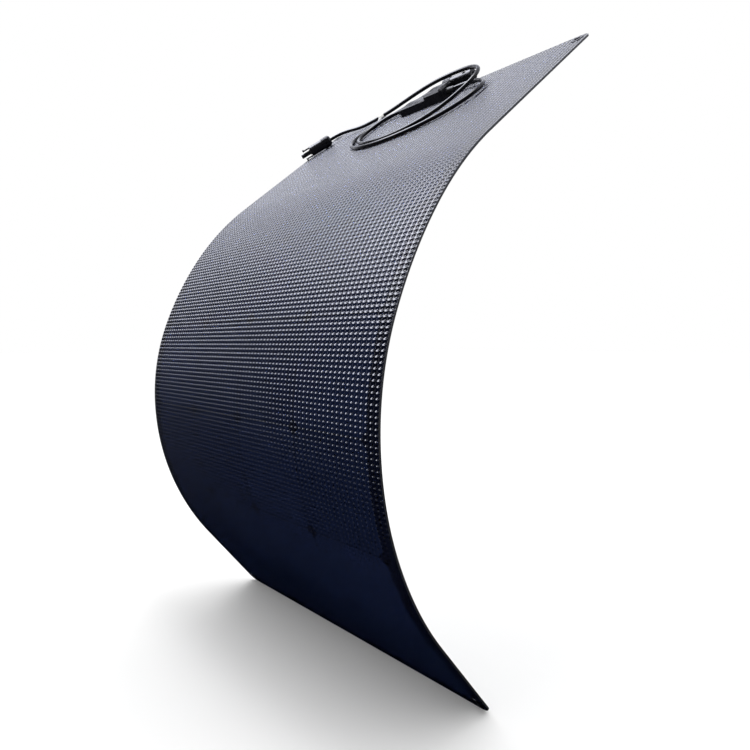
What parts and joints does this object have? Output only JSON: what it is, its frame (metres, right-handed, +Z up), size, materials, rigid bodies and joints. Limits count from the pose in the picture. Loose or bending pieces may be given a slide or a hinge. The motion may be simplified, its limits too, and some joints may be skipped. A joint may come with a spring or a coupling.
{
  "type": "flexible solar sheet",
  "caption": "Thin bowed solar sheet of dark cells under a dimpled clear film, with corner eyelets, a slim junction box and loosely coiled leads ending in plug-in connectors.",
  "frame": {"origin": "the middle of the top edge, at mid-thickness, where the two top eyelets hold the sheet", "axes": "+X across the sheet, +Z up, and the front, convex face looks towards -Y; the sheet runs down from the origin, bulging to -Y"},
  "size_m": [0.5474, 0.3811, 0.8583],
  "materials": {
    "film": "clear dimpled fluoropolymer over dark cells",
    "encapsulant": "clear adhesive, dark where it meets the cells",
    "cell": "blue-black monocrystalline silicon",
    "ribbon": "tinned copper",
    "back": "matt white polyester",
    "eyelet": "blackened steel",
    "box": "fine-grained black plastic",
    "glue": "black foam tape",
    "gland": "black rubber",
    "lead": "satin black cable jacket",
    "connector": "black plastic with moulded grips",
    "seal": "black seal ring",
    "contact": "tin-plated copper",
    "terminal": "brass clamp",
    "diode": "black moulded body",
    "sleeve": "blank white film"
  },
  "bodies": {
    "top_panel": {"front_film_top": "film", "encapsulant_top": "encapsulant", "back_sheet_top": "back", "cells_top": "cell", "cell_tabs_top": "ribbon", "bus_ribbons_top": "ribbon", "eyelets_top": "eyelet", "eyelet_washers_top": "eyelet", "box_glue_pad": "glue", "box_base": "box", "box_lid": "box", "box_terminals": "terminal", "bypass_diode": "diode", "lead_gland_left": "gland", "lead_gland_right": "gland", "lead_a": "lead", "lead_b": "lead", "lead_sleeve": "sleeve", "pin_connector_housing": "connector", "pin_contact": "contact", "pin_connector_seal": "seal", "pin_connector_nut": "connector", "socket_connector_housing": "connector", "socket_contact": "contact", "socket_connector_nut": "connector"},
    "strip_1": {"front_film_strip_1": "film", "encapsulant_strip_1": "encapsulant", "back_sheet_strip_1": "back", "cells_strip_1": "cell", "cell_tabs_strip_1": "ribbon"},
    "strip_2": {"front_film_strip_2": "film", "encapsulant_strip_2": "encapsulant", "back_sheet_strip_2": "back", "cells_strip_2": "cell", "cell_tabs_strip_2": "ribbon"},
    "strip_3": {"front_film_strip_3": "film", "encapsulant_strip_3": "encapsulant", "back_sheet_strip_3": "back", "cells_strip_3": "cell", "cell_tabs_strip_3": "ribbon"},
    "strip_4": {"front_film_strip_4": "film", "encapsulant_strip_4": "encapsulant", "back_sheet_strip_4": "back", "cells_strip_4": "cell", "cell_tabs_strip_4": "ribbon"},
    "strip_5": {"front_film_strip_5": "film", "encapsulant_strip_5": "encapsulant", "back_sheet_strip_5": "back", "cells_strip_5": "cell", "cell_tabs_strip_5": "ribbon"},
    "strip_6": {"front_film_strip_6": "film", "encapsulant_strip_6": "encapsulant", "back_sheet_strip_6": "back", "cells_strip_6": "cell", "cell_tabs_strip_6": "ribbon", "bus_ribbons_bottom": "ribbon", "eyelets_bottom": "eyelet", "eyelet_washers_bottom": "eyelet"}
  },
  "joints": [
    {"name": "flex_1", "type": "hinge", "parent": "top_panel", "child": "strip_1", "pos_m": [0, -0.21471, -0.17699], "axis": [1, 0, 0], "range_deg": [-8, 2.86]},
    {"name": "flex_2", "type": "hinge", "parent": "strip_1", "child": "strip_2", "pos_m": [0, -0.29989, -0.26995], "axis": [1, 0, 0], "range_deg": [-15.75, 5.63]},
    {"name": "flex_3", "type": "hinge", "parent": "strip_2", "child": "strip_3", "pos_m": [0, -0.35816, -0.38188], "axis": [1, 0, 0], "range_deg": [-18.9, 6.76]},
    {"name": "flex_4", "type": "hinge", "parent": "strip_3", "child": "strip_4", "pos_m": [0, -0.37891, -0.50588], "axis": [1, 0, 0], "range_deg": [-22.05, 7.88]},
    {"name": "flex_5", "type": "hinge", "parent": "strip_4", "child": "strip_5", "pos_m": [0, -0.35381, -0.62921], "axis": [1, 0, 0], "range_deg": [-19.95, 7.13]},
    {"name": "flex_6", "type": "hinge", "parent": "strip_5", "child": "strip_6", "pos_m": [0, -0.28987, -0.73776], "axis": [1, 0, 0], "range_deg": [-9.45, 3.38]}
  ],
  "couplings": [
    {"joint": "flex_2", "follows": "flex_1", "ratio": 1.875},
    {"joint": "flex_3", "follows": "flex_1", "ratio": 2.25},
    {"joint": "flex_4", "follows": "flex_1", "ratio": 2.625},
    {"joint": "flex_5", "follows": "flex_1", "ratio": 2.375},
    {"joint": "flex_6", "follows": "flex_1", "ratio": 1.125}
  ]
}
